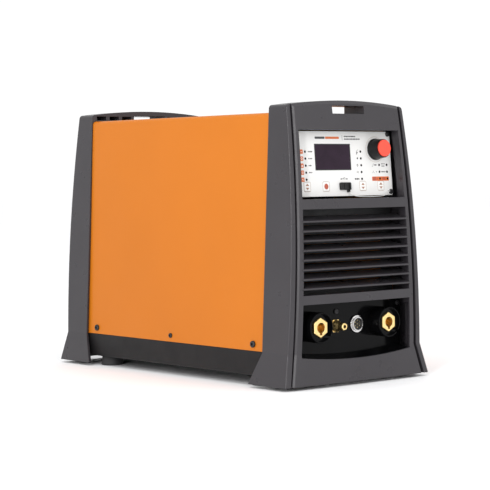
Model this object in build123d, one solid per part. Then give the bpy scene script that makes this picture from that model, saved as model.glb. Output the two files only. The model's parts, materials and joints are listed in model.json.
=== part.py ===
from build123d import *
import math
import os

# TIG welding power source: two moulded end hoops with inset fascias, a folded
# sheet cover between them, a base pan on rubber feet, and the inverter inside.
# Millimetres, +Z up, the front faces -Y, the origin is on the floor at mid-length.
# Heights below are from the case datum, just under the hoops' feet, and every
# part is lifted by FOOT_DROP when it is written.

# ---- driving dimensions ------------------------------------------------------
HOOP_TOP_HALF = 101.8        # hoop outer half-width at the top corners
HOOP_CREASE_HALF = 117.3     # hoop outer half-width at the flare's crease
HOOP_FLOOR_HALF = 126.5      # hoop outer half-width at its foot
CREASE_Z = 40.0              # height of the crease where the flare starts
HOOP_FOOT_Z = 0.5            # hoop's foot above the case datum
CORNER_Z = 351.0             # height of the hoop's top corners
PEAK_Z = 357.5               # height of the arch at the centre line
HOOP_WALL = 3.0              # moulded wall
GROOVE_TOP_HALF = 94.4       # groove half-width at the top corners
GROOVE_CREASE_HALF = 107.0   # groove half-width at the crease
GROOVE_FLOOR_HALF = 116.0    # groove half-width at the foot
GROOVE_GAP = 3.6             # width of the groove between hoop and fascia
GROOVE_DEPTH = 8.0           # groove floor behind the reference line
FRONT_Y = -239.0             # front reference line at its most forward point
FRONT_VERTEX_Z = 120.0       # height of that point
FRONT_RADIUS = 1525.0        # radius of the front profile in side view
FRONT_FLOOR_Y = -243.0       # front reference line at the floor
RIM_PROUD = 3.5              # hoop rim ahead of the reference line
FACE_PROUD = 7.0             # fascia face ahead of the reference line
PLAN_RADIUS = 2170.0         # plan radius of the fascia's face
HOOP_BACK_Y = -192.0         # visible inner edge of the hoop
HOOP_BACK_FLOOR_Y = -174.0   # the same edge at the floor
SKIN = 3.0                   # fascia wall
RETURN_WALL = 2.5            # fascia edge returns
CROWN_UP = 3.0               # bevel along the fascia's arched top, down its face
CROWN_BACK = 4.5             # the same bevel's reach across the top
SLOT_HALF = 28.0             # handle slot half-width
SLOT_Z = (340.5, 350.6)      # handle slot bottom and top
POCKET_X = 41.0              # first lightening pocket from the centre line
POCKET_PITCH = 22.2
POCKET_HALF = 8.3
POCKET_Z = (344.0, 349.4)
COVER_TOP_HALF = 100.4       # cover outer half-width at its top
COVER_FOOT_HALF = 112.5      # cover outer half-width at its lower edge
COVER_TOP_Z = 342.0
COVER_FOOT_Z = 41.0
COVER_HALF_LENGTH = 197.0
COVER_SHEET = 1.2
COVER_BEND = 5.0
PAN_Z = 9.0                  # underside of the base pan
PAN_SHEET = 1.5
PAN_HALF = 112.3
PAN_HALF_LENGTH = 199.0
CONTROL_WINDOW_Z = (232.6, 319.7)
GRILLE_WINDOW_Z = (113.0, 220.2)
SOCKET_WINDOW_Z = (35.5, 101.4)
SOCKET_LIP_SAG = 6.0         # bow of the socket window's lower edge
WINDOW_TOP_HALF = 86.6       # window half-width extrapolated to the top corners
WINDOW_TAPER = 0.028         # growth of that half-width per mm downwards
SLAT_COUNT = 8
SLAT_PITCH = 12.0
SLAT_TOP_Z = 207.4
SLAT_THICK = 2.6
SLAT_DEPTH = 17.0
SLAT_TILT = 14.0             # degrees, front edge low
PANEL_Y = -219.0             # control overlay's front at its centre
PANEL_Z = 277.0
PANEL_TILT = 4.5             # degrees, top leaning back
PANEL_HALF_W = 86.0
PANEL_HALF_H = 41.5
OVERLAY = 0.5                # printed overlay thickness
BACKPLATE = 2.0
KEY_COLUMN = 32.4            # pitch of the keys and the usb port
KEY_V = -29.0                # height of the key row on the panel
KEY_W = 10.4
KEY_H = 11.4
KEY_TRAVEL = 0.4
SCREEN_CENTRE = (-17.5, 8.6)
SCREEN_W = 62.5
SCREEN_H = 33.7
KNOB_U = 57.8
KNOB_V = 18.3
KNOB_R = 14.0
KNOB_H = 17.0
CAP_R = 10.9
CAP_H = 2.2                  # how far the cap stands out of the knob
LED_R = 1.5
LED_PITCH = 8.83
LED_TOP_V = 15.5
LED_LEFT_U = -65.0
LED_MID_U = 31.7
LED_RIGHT_U = (64.2, 77.9)
LED_RIGHT_V = (-2.0, -10.9, -19.8)
PCB = 1.6
PCB_W = -14.0                # back face of the control board from the overlay's front
PANEL_SCREW_U = 82.0
PANEL_SCREW_V = (38.4, -37.0)
PLATE_Y = -219.0             # front of the glossy socket plate
PLATE_T = 2.5
LEDGE_FRONT = 239.2          # the ledge's lip, ahead of mid-length
LEDGE_T = 2.4
LEDGE_RISE = 5.0
SOCKET_X = 60.0
SOCKET_Z = 71.0
SOCKET_R = 19.5              # outer radius of a welding socket's body
SOCKET_PROUD = 22.0
HEX_AF = 22.2                # across flats of the brass contact
SOCKET_WELL = 5.0            # depth of the well round the brass contact
SOCKET_NOTCH = 4.0           # width of the notch in the collar's rim
SOCKET_NOTCH_ANGLE = -42.0   # degrees below the horizontal
PIN_BORE_R = 6.55            # bore for a 13 mm plug pin
PIN_BORE_L = 26.0
GAS_X = -20.0
CONTROL_X = 20.0             # torch control connector
SMALL_Z = 70.0
BULKHEAD_Y = -206.0          # front face of the inner steel bulkhead
SHEET = 1.5
FAN_SIZE = 119.0
FAN_DEPTH = 38.0
FAN_Z = 166.0
FAN_BACK_Y = 204.0           # fan's face against the rear bulkhead
REAR_PLATE_Y = 218.0         # outer face of the rear service plates
SWITCH_X = -44.0
SWITCH_Z = 278.0
ROCKER_SWING = 12.0          # degrees each way from level
GLAND_X = 44.0
GLAND_Z = 278.0
GAS_IN_X = -44.0
GAS_IN_Z = 70.0
EARTH_X = 44.0
FOOT_R = 16.0
FOOT_X = 92.0
FOOT_Y = 165.0
FOOT_DROP = 4.0              # the feet stand the hoops this far off the floor
COVER_SCREW_Z = 49.5
COVER_SCREW_Y = (-169.0, 2.0, 172.0)

PANEL = Plane(
    origin=(0, PANEL_Y, PANEL_Z),
    x_dir=(1, 0, 0),
    z_dir=(0, -math.cos(math.radians(PANEL_TILT)), math.sin(math.radians(PANEL_TILT))),
)
parts = {}


# ---- helpers -----------------------------------------------------------------
def block(x0, x1, y0, y1, z0, z1):
    """Box between two corners."""
    return Pos((x0 + x1) / 2, (y0 + y1) / 2, (z0 + z1) / 2) * Box(x1 - x0, y1 - y0, z1 - z0)


def rod_y(x, z, y0, y1, r):
    """Cylinder along Y."""
    return Pos(x, (y0 + y1) / 2, z) * Rot(90, 0, 0) * Cylinder(r, abs(y1 - y0))


def rod_x(y, z, x0, x1, r):
    """Cylinder along X."""
    return Pos((x0 + x1) / 2, y, z) * Rot(0, 90, 0) * Cylinder(r, abs(x1 - x0))


def rod_z(x, y, z0, z1, r):
    """Cylinder along Z."""
    return Pos(x, y, (z0 + z1) / 2) * Cylinder(r, abs(z1 - z0))


def tube_y(x, z, y0, y1, r_out, r_in):
    return rod_y(x, z, y0, y1, r_out) - rod_y(x, z, min(y0, y1) - 1, max(y0, y1) + 1, r_in)


def prism_y(face, y0, y1):
    """Front-view face (x, z) extruded from y0 to y1."""
    return extrude(Plane.XZ.offset(-y1) * face, amount=y1 - y0)


def prism_x(face, half):
    """Side-view face (y, z) extruded both ways."""
    return extrude(Plane.YZ * face, amount=half, both=True)


def on_panel(u, v, w, shape):
    """Place a shape on the tilted control panel: u right, v up, w outwards."""
    return PANEL.location * Pos(u, v, w) * shape


def panel_box(u, v, w0, w1, wide, high, r=0.0):
    """Box on the panel from depth w0 to w1 with rounded corners."""
    face = RectangleRounded(wide, high, r) if r else Rectangle(wide, high)
    return on_panel(u, v, w0, extrude(face, amount=w1 - w0))


def panel_rod(u, v, w0, w1, r):
    return on_panel(u, v, w0, extrude(Circle(r), amount=w1 - w0))


def front_y(z):
    """Front reference line in side view."""
    rise = (z - FRONT_VERTEX_Z) ** 2 / (2 * FRONT_RADIUS)
    return FRONT_Y + rise


def lean(top, crease, z):
    """Half-width of a leaning side at height z."""
    return crease + (top - crease) * (z - CREASE_Z) / (CORNER_Z - CREASE_Z)


def hoop_outline(inset, foot_z):
    """Front view of the hoop's outside, moved inwards by inset."""
    top = HOOP_TOP_HALF - inset
    crease = HOOP_CREASE_HALF - inset
    foot = HOOP_FLOOR_HALF - inset
    corner_z = CORNER_Z - inset
    left = Polyline((-top, corner_z), (-crease, CREASE_Z), (-foot, foot_z))
    base = Line((-foot, foot_z), (foot, foot_z))
    right = Polyline((foot, foot_z), (crease, CREASE_Z), (top, corner_z))
    arch = ThreePointArc((top, corner_z), (0, PEAK_Z - inset), (-top, corner_z))
    face = make_face([left, base, right, arch])
    corners = face.vertices().sort_by(Axis.Y)[-2:]
    return fillet(corners, 5.0)


def groove_outline(grow, z_top):
    """Front view of the line of the groove, widened by grow, up to z_top."""
    top = lean(GROOVE_TOP_HALF, GROOVE_CREASE_HALF, z_top) + grow
    crease = GROOVE_CREASE_HALF + grow
    foot = GROOVE_FLOOR_HALF + grow
    right = [(foot, -5), (foot, 0), (crease, CREASE_Z), (top, z_top)]
    left = [(-x, z) for x, z in reversed(right)]
    return make_face(Polyline(*right, *left, close=True))


def side_face(proud, back_y, back_floor_y):
    """Side view of the material behind the front line, back to an inner edge."""
    ys = [front_y(z) - proud for z in (CREASE_Z, 200.0, 365.0)]
    floor_y = FRONT_FLOOR_Y - proud
    front = ThreePointArc((ys[0], CREASE_Z), (ys[1], 200.0), (ys[2], 365.0))
    top = [(ys[2], 365.0), (back_y, 365.0), (back_y, CREASE_Z)]
    rest = Polyline(*top, (back_floor_y, 0), (floor_y, 0), (ys[0], CREASE_Z))
    return make_face([front, rest])


def barrel(proud):
    """Material behind the fascia's face, which is curved in side view and in plan."""
    profile = side_face(proud, -150.0, -150.0)
    axis_y = FRONT_Y - FACE_PROUD + PLAN_RADIUS
    axis = Axis((0, axis_y, 0), (0, 0, 1))
    return revolve(Plane.YZ * profile, axis, 8.0).rotate(axis, -4.0)


def window_half(z):
    return WINDOW_TOP_HALF + (CORNER_Z - z) * WINDOW_TAPER


def window_outline(z_range, grow=0.0, sag=0.0):
    """Front view of a window with leaning sides; sag bows its lower edge."""
    z0 = z_range[0] - grow
    z1 = z_range[1] + grow
    lower = window_half(z0) + grow
    upper = window_half(z1) + grow
    sides = Polyline((lower, z0), (upper, z1), (-upper, z1), (-lower, z0))
    if sag:
        bottom = ThreePointArc((-lower, z0), (0, z0 - sag), (lower, z0))
    else:
        bottom = Line((-lower, z0), (lower, z0))
    return make_face([sides, bottom])


# ---- end hoops ---------------------------------------------------------------
def make_hoop():
    blank = prism_y(hoop_outline(0, HOOP_FOOT_Z), -262, -165)
    blank = blank & prism_x(side_face(RIM_PROUD, HOOP_BACK_Y, HOOP_BACK_FLOOR_Y), 140)
    rim = [
        e for e in blank.edges()
        if e.center().Z > HOOP_FOOT_Z + 1 and e.center().Y < -205 and e.length > 20
        and abs(e.center().Y - front_y(e.center().Z)) < 9
    ]
    blank = fillet(rim, 2.6)
    cavity = prism_y(hoop_outline(HOOP_WALL, -5), -262, -165)
    cavity = cavity & prism_x(side_face(-GROOVE_DEPTH - 3, -160, -160), 140)
    ceiling = block(-140, 140, -262, -160, SLOT_Z[0] - 3, 400)
    hoop = blank - (cavity - ceiling)
    in_front = prism_x(side_face(40, -150, -150), 140) - prism_x(side_face(-GROOVE_DEPTH, -150, -150), 150)
    hoop -= prism_y(groove_outline(GROOVE_GAP / 2, 380), -300, -160) & in_front
    hoop -= prism_y(groove_outline(-4.0, SLOT_Z[0] - 3), -262, -210)
    hoop -= block(-SLOT_HALF, SLOT_HALF, -262, -160, *SLOT_Z)
    for side in (-1, 1):
        for k in range(3):
            centre = side * (POCKET_X + POCKET_PITCH * k)
            hoop -= block(centre - POCKET_HALF, centre + POCKET_HALF, -222, -160, *POCKET_Z)
    # Rebate that the cover and the base pan slide into.
    hoop -= prism_y(cover_outline(0.2), -COVER_HALF_LENGTH - 0.3, -160)
    hoop -= block(-PAN_HALF - 0.2, PAN_HALF + 0.2, -PAN_HALF_LENGTH - 0.3, -160, PAN_Z - 0.2, 60)
    return hoop


def cover_outline(grow):
    foot = COVER_FOOT_HALF + grow
    top = COVER_TOP_HALF + grow
    right = [(foot, COVER_FOOT_Z), (top, COVER_TOP_Z + grow)]
    left = [(-x, z) for x, z in reversed(right)]
    face = make_face(Polyline(*right, *left, close=True))
    corners = face.vertices().sort_by(Axis.Y)[-2:]
    return fillet(corners, COVER_BEND + grow)


# ---- fascias -----------------------------------------------------------------
def make_fascia():
    """Inset moulding with three windows and louvre slats across the middle one."""
    edge = groove_outline(-GROOVE_GAP / 2, 380)
    field = prism_y(edge, -300, -150) & prism_y(hoop_outline(0, HOOP_FOOT_Z), -300, -150)
    body = field & barrel(FACE_PROUD)
    front_edges = [
        e for e in body.edges()
        if e.center().Y < -215 and abs(e.center().X) > 80 and e.length > 20
        and e.center().Y < front_y(e.center().Z) - 3
    ]
    body = chamfer(front_edges, 2.2)
    crown = [
        e for e in body.edges()
        if e.center().Z > PEAK_Z - 3 and e.center().Y < -215 and e.length > 100
    ]
    body = chamfer(crown[:1], CROWN_UP, CROWN_BACK)
    back = prism_x(side_face(-GROOVE_DEPTH + 0.3, -150, -150), 150)
    body = body - back
    inner = groove_outline(-GROOVE_GAP / 2 - RETURN_WALL, SLOT_Z[0] - 3)
    core = prism_y(inner, -300, -150) & barrel(FACE_PROUD - SKIN)
    body -= core
    # Window returns, then the windows themselves.
    windows = ((CONTROL_WINDOW_Z, 0), (GRILLE_WINDOW_Z, 0), (SOCKET_WINDOW_Z, SOCKET_LIP_SAG))
    for z_range, sag in windows:
        frame = prism_y(window_outline(z_range, RETURN_WALL, sag), -300, -150)
        frame = frame & barrel(FACE_PROUD - 1) - back
        if z_range is SOCKET_WINDOW_Z:
            frame = frame & block(-140, 140, -300, -150, 95, 110)
        body += frame & field
    for z_range, sag in windows:
        body -= prism_y(window_outline(z_range, 0, sag), -300, -150)
    for k in range(SLAT_COUNT):
        body += make_slat(SLAT_TOP_Z - SLAT_PITCH * k)
    body -= block(-SLOT_HALF, SLOT_HALF, -300, -150, *SLOT_Z)
    return body


def make_slat(z):
    half = window_half(z) + 1.5
    front = front_y(z) - FACE_PROUD - 3
    plate = Box(2 * half, SLAT_DEPTH + 6, SLAT_THICK)
    plate = fillet(plate.edges().filter_by(Axis.X).group_by(Axis.Y)[0], SLAT_THICK * 0.45)
    slat = Pos(0, front + SLAT_DEPTH / 2 + 6.4, z) * Rot(SLAT_TILT, 0, 0) * plate
    return slat


# ---- cover, base pan, feet ---------------------------------------------------
def cover_half(z):
    return lean_between(COVER_TOP_HALF, COVER_TOP_Z, COVER_FOOT_HALF, COVER_FOOT_Z, z)


def lean_between(x1, z1, x0, z0, z):
    return x0 + (x1 - x0) * (z - z0) / (z1 - z0)


def make_cover():
    sheet = prism_y(cover_outline(0), -COVER_HALF_LENGTH, COVER_HALF_LENGTH)
    inside = prism_y(cover_outline(-COVER_SHEET), -COVER_HALF_LENGTH - 1, COVER_HALF_LENGTH + 1)
    cover = sheet - inside - block(-150, 150, -200, 200, 0, COVER_FOOT_Z + 0.01)
    cover -= block(-105, 105, -200, 200, 30, COVER_FOOT_Z + 3)
    for y in COVER_SCREW_Y:
        cover -= rod_x(y, COVER_SCREW_Z, -130, 130, 2.2)
    return cover


def pan_section(inset):
    return Pos(0, (PAN_Z + COVER_FOOT_Z) / 2) * Rectangle(2 * (PAN_HALF - inset), COVER_FOOT_Z - PAN_Z - 0.4)


def make_base_pan():
    """Folded tray with a joggled flange inside the cover on each side."""
    outer = fillet(pan_section(0).vertices().sort_by(Axis.Y)[:2], 3.5)
    pan = prism_y(outer, -PAN_HALF_LENGTH, PAN_HALF_LENGTH)
    pan -= block(-PAN_HALF + PAN_SHEET, PAN_HALF - PAN_SHEET, -300, 300, PAN_Z + PAN_SHEET, 100)
    inner = COVER_SHEET + 0.15
    for side in (-1, 1):
        low = (cover_half(37) - inner) * side
        high = (cover_half(60) - inner) * side
        step = side * PAN_SHEET
        web = Polyline((low, 37), (high, 60), (high - step, 60), (low - step, 37), close=True)
        flange = prism_y(make_face(web), -PAN_HALF_LENGTH + 5, PAN_HALF_LENGTH - 5)
        tread = sorted((side * PAN_HALF - step / 2, low - step))
        pan += flange + block(*tread, -PAN_HALF_LENGTH + 5, PAN_HALF_LENGTH - 5, 37, 37 + PAN_SHEET)
    for y in COVER_SCREW_Y:
        pan -= rod_x(y, COVER_SCREW_Z, -130, 130, 1.9)
    for x in (-FOOT_X, FOOT_X):
        for y in (-FOOT_Y, FOOT_Y):
            pan -= rod_z(x, y, PAN_Z - 2, PAN_Z + 4, 2.6)
    return pan


def make_feet():
    """Round rubber buttons, each with a counterbore for its screw."""
    low = -FOOT_DROP
    points = [(0, low), (FOOT_R - 1, low), (FOOT_R, low + 1.5), (FOOT_R - 2, PAN_Z), (0, PAN_Z)]
    foot = revolve(Plane.XZ * make_face(Polyline(*points, close=True)), Axis.Z)
    foot -= rod_z(0, 0, low - 1, 4.5, 6) + rod_z(0, 0, 0, PAN_Z + 2, 2.6)
    return [Pos(x, y, 0) * foot for x in (-FOOT_X, FOOT_X) for y in (-FOOT_Y, FOOT_Y)]


def make_foot_screws():
    screw = Pos(0, 0, 3.1) * Cylinder(5.2, 2.6) + Pos(0, 0, 8.6) * Cylinder(2.5, 8.6)
    screw -= Pos(0, 0, 1.8) * Box(6, 1, 1.6) + Pos(0, 0, 1.8) * Box(1, 6, 1.6)
    return [Pos(x, y, 0) * screw for x in (-FOOT_X, FOOT_X) for y in (-FOOT_Y, FOOT_Y)]


def pan_head(head_r, head_h, shank_r, shank_l, socket=True):
    """Screw along +Z with its head's underside at z 0, and a cross or hex recess."""
    head = Pos(0, 0, head_h / 2) * Cylinder(head_r, head_h)
    head = fillet(head.edges().sort_by(Axis.Z)[-1:], head_h * 0.45)
    screw = head + Pos(0, 0, -shank_l / 2) * Cylinder(shank_r, shank_l)
    if socket:
        recess = extrude(RegularPolygon(head_r * 0.5, 6), amount=head_h)
        return screw - Pos(0, 0, head_h * 0.35) * recess
    cross = Box(head_r * 1.1, head_r * 0.25, head_h) + Box(head_r * 0.25, head_r * 1.1, head_h)
    return screw - Pos(0, 0, head_h * 0.9) * cross


def make_cover_screws():
    screws = []
    for side in (-1, 1):
        for y in COVER_SCREW_Y:
            big = abs(y) > 50
            screw = pan_head(4.3 if big else 3.2, 2.6 if big else 2.0, 1.6, 7)
            x = side * (cover_half(COVER_SCREW_Z) + 0.1)
            screws.append(Pos(x, y, COVER_SCREW_Z) * Rot(0, side * 87.7, 0) * screw)
    return screws


# ---- inner steel bulkheads ---------------------------------------------------
def bulkhead_blank():
    right = [(100, PAN_Z + PAN_SHEET), (102, CREASE_Z), (94.5, 336.5)]
    left = [(-x, z) for x, z in reversed(right)]
    outline = make_face(Polyline(*right, *left, close=True))
    return prism_y(outline, BULKHEAD_Y, BULKHEAD_Y + SHEET)


def make_front_bulkhead():
    plate = bulkhead_blank()
    plate -= block(-87, 87, -230, -190, 231, 322)
    for k in range(8):
        plate -= block(-80, 80, -230, -190, 119 + 12 * k, 127 + 12 * k)
    for x in (-SOCKET_X, SOCKET_X):
        plate -= rod_y(x, SOCKET_Z, -230, -190, 16.2)
    plate -= rod_y(GAS_X, SMALL_Z, -230, -190, 7.2)
    plate -= rod_y(CONTROL_X, SMALL_Z, -230, -190, 9.2)
    return plate


def make_rear_bulkhead():
    plate = mirror(bulkhead_blank(), about=Plane.XZ)
    plate -= rod_y(0, FAN_Z, 190, 230, 57)
    for x, z in fan_holes():
        plate -= rod_y(x, z, 190, 230, 2.2)
    plate -= block(SWITCH_X - 17, SWITCH_X + 17, 190, 230, SWITCH_Z - 22, SWITCH_Z + 22)
    plate -= rod_y(GLAND_X, GLAND_Z, 190, 230, 14)
    plate -= rod_y(GAS_IN_X, GAS_IN_Z, 190, 230, 7.2)
    plate -= rod_y(EARTH_X, GAS_IN_Z, 190, 230, 8)
    return plate


def fan_holes():
    half = 105.0 / 2
    return [(x, FAN_Z + z) for x in (-half, half) for z in (-half, half)]


# ---- control panel -----------------------------------------------------------
def led_places():
    left = [(LED_LEFT_U, LED_TOP_V - LED_PITCH * k) for k in range(5)]
    middle = [(LED_MID_U, LED_TOP_V - LED_PITCH * k) for k in range(5)]
    right = [(u, v) for u in LED_RIGHT_U for v in LED_RIGHT_V]
    return left + middle + right


def panel_screw_places():
    return [(u, v) for u in (-PANEL_SCREW_U, PANEL_SCREW_U) for v in PANEL_SCREW_V]


def key_places():
    return [(KEY_COLUMN * k, KEY_V) for k in (-2, -1, 1, 2)]


def panel_plate(w0, w1, key_clear, screw_r):
    """Plate of the control panel between two depths, with all of its cut-outs."""
    plate = panel_box(0, 0, w0, w1, 2 * PANEL_HALF_W, 2 * PANEL_HALF_H, 2.0)
    plate -= panel_box(*SCREEN_CENTRE, w0 - 1, w1 + 1, SCREEN_W + 0.3, SCREEN_H + 0.3)
    for u, v in key_places():
        plate -= panel_box(u, v, w0 - 1, w1 + 1, KEY_W + key_clear, KEY_H + key_clear, 1.6)
    plate -= panel_box(0, KEY_V, w0 - 1, w1 + 1, 14.2, 7.2)
    plate -= panel_rod(KNOB_U, KNOB_V, w0 - 1, w1 + 1, 4.6)
    for u, v in led_places():
        plate -= panel_rod(u, v, w0 - 1, w1 + 1, LED_R + 0.1)
    for u, v in panel_screw_places():
        plate -= panel_rod(u, v, w0 - 1, w1 + 1, screw_r)
    return plate


def standoff_places():
    return [(u * 0.9, v * 0.85) for u, v in panel_screw_places()]


def make_backplate():
    """Plate behind the overlay, and the posts on its back for the control board."""
    plate = panel_plate(-OVERLAY - BACKPLATE, -OVERLAY, 0.6, 1.75)
    posts = [
        panel_rod(u, v, PCB_W + PCB, -OVERLAY - BACKPLATE, 2.4)
        for u, v in standoff_places()
    ]
    return [plate, *posts]


def make_key(u, v):
    """Key cap with a crowned face and a stem behind it."""
    cap = extrude(RectangleRounded(KEY_W, KEY_H, 1.5), amount=2.3)
    cap = fillet(cap.edges().group_by(Axis.Z)[-1], 0.5)
    stem = Pos(0, 0, -3.3) * Cylinder(1.6, 6.8)
    return on_panel(u, v, -1.9, cap + stem)


def make_control_board():
    board = panel_box(0, 1, PCB_W, PCB_W + PCB, 156, 76)
    for u, v in standoff_places():
        board -= panel_rod(u, v, PCB_W - 1, PCB_W + 3, 1.7)
    return board


def make_knob():
    """Fluted knob, tapering, with a skirt and a seat for its cap."""
    skirt = [(0, 0.8), (KNOB_R, 0.8), (KNOB_R, 2.6), (KNOB_R - 1.0, 3.4)]
    points = [*skirt, (KNOB_R - 2.0, KNOB_H), (0, KNOB_H)]
    knob = revolve(Plane.XZ * make_face(Polyline(*points, close=True)), Axis.Z)
    for k in range(24):
        angle = 15.0 * k
        knob -= Rot(0, 0, angle) * Pos(KNOB_R - 0.75, 0, 11.4) * Rot(0, -4.4, 0) * Cylinder(0.7, 16)
    knob -= Pos(0, 0, 5) * Cylinder(3.0, 18)
    knob -= Pos(0, 0, 3) * Cylinder(5.2, 6.4)
    knob -= Pos(0, 0, KNOB_H) * Cylinder(3.5, 4)
    return on_panel(KNOB_U, KNOB_V, 0, knob)


def make_knob_cap():
    cap = Pos(0, 0, KNOB_H + CAP_H / 2) * Cylinder(CAP_R, CAP_H)
    cap = fillet(cap.edges().sort_by(Axis.Z)[-1:], 0.9)
    return on_panel(KNOB_U, KNOB_V, 0, cap + Pos(0, 0, KNOB_H - 0.9) * Cylinder(3.5, 1.8))


def make_usb_cap():
    """Soft dust cap with a finger lip and a lug for its tether."""
    front = extrude(RectangleRounded(18.6, 9.6, 1.4), amount=3.0)
    front = fillet(front.edges().group_by(Axis.Z)[-1], 0.9)
    lip = Pos(6.0, 0, 3.5) * Box(2.0, 7.0, 2.0)
    groove = Pos(-3.5, 0, 3.0) * Box(1.0, 7.0, 1.2)
    lug = Pos(5.5, -6.0, 0.9) * Box(4.4, 3.4, 1.4) - Pos(5.5, -6.3, 0.9) * Cylinder(0.9, 3)
    plug = Pos(0, 0, -3.4) * Box(11.2, 3.8, 7.2)
    return on_panel(0, KEY_V, 0.3, front + lip - groove + lug + plug)


TETHER_D = 1.0
TETHER_POINTS = [
    (5.5, -223.2, 239.5),
    (7.6, -225.2, 237.4),
    (14.0, -228.4, 235.1),
    (26.0, -230.2, 234.3),
    (41.0, -230.8, 234.2),
    (56.0, -229.0, 234.4),
    (67.0, -226.4, 235.4),
    (74.0, -224.6, 238.0),
    (78.6, -223.5, 241.2),
]


def run_lengths(points):
    return [math.dist(a, b) for a, b in zip(points, points[1:])]


def route_radii(points):
    """Arc radius at each inner point of a route, as large as its two runs allow."""
    runs = run_lengths(points)
    radii = []
    for k in range(1, len(points) - 1):
        before = Vector(*points[k]) - Vector(*points[k - 1])
        after = Vector(*points[k + 1]) - Vector(*points[k])
        turn = math.radians(before.get_angle(after))
        radii.append(0.45 * min(runs[k - 1], runs[k]) / math.tan(turn / 2))
    return radii


def make_tether():
    """Thin cord from the dust cap's lug to the panel screw."""
    radii = route_radii(TETHER_POINTS)
    path = FilletPolyline(*TETHER_POINTS, radius=radii)
    section = Plane(origin=path @ 0, z_dir=path % 0) * Circle(TETHER_D / 2)
    tube = sweep(section, path=path)
    expected = math.pi * (TETHER_D / 2) ** 2 * path.length
    print("tether length", round(path.length, 2), "volume ratio", round(tube.volume / expected, 4))
    return tube


def make_tether_eyelet():
    """Flat metal eyelet held under the panel's lower screw."""
    u, v = PANEL_SCREW_U, PANEL_SCREW_V[1]
    ring = Cylinder(3.1, 0.5) - Cylinder(1.75, 2)
    tab = Pos(-3.6, 0.6, 0) * Box(2.4, 1.6, 0.5)
    return on_panel(u, v, 0.3, ring + tab)


# ---- socket bay --------------------------------------------------------------
def make_ledge():
    """Floor of the socket bay, bowed like the lip and rising towards the plate."""
    half = window_half(SOCKET_WINDOW_Z[0]) - 0.5
    lip = SOCKET_WINDOW_Z[0] - 0.2
    low = lip - LEDGE_T
    upper = ThreePointArc((-half, lip), (0, lip - SOCKET_LIP_SAG), (half, lip))
    lower = ThreePointArc((half, low), (0, low - SOCKET_LIP_SAG), (-half, low))
    section = make_face([upper, Line((half, lip), (half, low)), lower, Line((-half, low), (-half, lip))])
    start = Plane.XZ.offset(LEDGE_FRONT) * section
    end = Plane.XZ.offset(-PLATE_Y) * Pos(0, LEDGE_RISE) * section
    return loft([start.face(), end.face()])


def make_socket_plate():
    """Glossy moulded plate, and the ledge in front of it that rises gently from the lip."""
    plate = block(-100.5, 100.5, PLATE_Y, PLATE_Y + PLATE_T, 30, 104.5)
    for x in (-SOCKET_X, SOCKET_X):
        plate -= rod_y(x, SOCKET_Z, -240, -200, 16.2)
    plate -= rod_y(GAS_X, SMALL_Z, -240, -200, 7.2)
    plate -= rod_y(CONTROL_X, SMALL_Z, -240, -200, 9.2)
    for x, z in socket_screw_places():
        plate -= rod_y(x, z, -240, -200, 1.7)
    return [plate, make_ledge()]


def socket_screw_places():
    return [(-94.6, 93.6), (94.6, 93.6), (-15.6, 88.0)]


def make_socket_screws():
    screw = pan_head(3.2, 2.2, 1.6, 9, socket=False)
    return [Pos(x, PLATE_Y - 0.1, z) * Rot(90, 0, 0) * screw for x, z in socket_screw_places()]


def make_socket_body(x):
    """Insulating body of a welding socket: flange, collar and rear thread."""
    front = PLATE_Y - SOCKET_PROUD
    body = rod_y(x, SOCKET_Z, front, PLATE_Y, SOCKET_R)
    body = fillet(body.edges().group_by(Axis.Y)[0], 1.2)
    body -= rod_y(x, SOCKET_Z, front - 1, front + SOCKET_WELL, SOCKET_R - 1.6)
    notch = Pos(SOCKET_R - 1.5, 0, 0) * Box(4.0, SOCKET_NOTCH, 2 * SOCKET_WELL)
    body -= Pos(x, front, SOCKET_Z) * Rot(90, 0, 0) * Rot(0, 0, SOCKET_NOTCH_ANGLE) * notch
    body += rod_y(x, SOCKET_Z, PLATE_Y, BULKHEAD_Y + 12, 16.0)
    hexagon = RegularPolygon(HEX_AF / 2 + 0.1, 6, major_radius=False, rotation=30)
    body -= prism_y(Pos(x, SOCKET_Z) * hexagon, -260, -180)
    return body


def make_socket_contact(x):
    """Brass hexagon contact with a keyed bore for the plug pin."""
    front = PLATE_Y - SOCKET_PROUD + 1.6
    hexagon = RegularPolygon(HEX_AF / 2, 6, major_radius=False, rotation=30)
    contact = prism_y(Pos(x, SOCKET_Z) * hexagon, front, BULKHEAD_Y + 6)
    contact = chamfer(contact.faces().sort_by(Axis.Y)[0].edges(), 0.6)
    contact += rod_y(x, SOCKET_Z, BULKHEAD_Y + 6, BULKHEAD_Y + 34, 5.8)
    contact -= rod_y(x, SOCKET_Z, front - 1, front + PIN_BORE_L, PIN_BORE_R)
    contact -= block(x - 1.9, x + 1.9, front - 1, front + 12, SOCKET_Z - 9.2, SOCKET_Z - 5)
    return contact


def make_socket_nuts():
    nuts = []
    for x in (-SOCKET_X, SOCKET_X):
        ring = rod_y(x, SOCKET_Z, BULKHEAD_Y + SHEET, BULKHEAD_Y + SHEET + 6, 20)
        nuts.append(ring - rod_y(x, SOCKET_Z, -230, -180, 16.05))
    return nuts


def make_socket_lugs():
    """Copper lugs that carry the weld current to the sockets."""
    lugs = []
    for x in (-SOCKET_X, SOCKET_X):
        y = BULKHEAD_Y + 21
        lug = rod_y(x, SOCKET_Z, y, y + 4, 11) + block(x - 9, x + 9, y, y + 4, SOCKET_Z, SOCKET_Z + 52)
        lugs.append(lug - rod_y(x, SOCKET_Z, y - 3, y + 9, 5.9))
    return lugs


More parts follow.
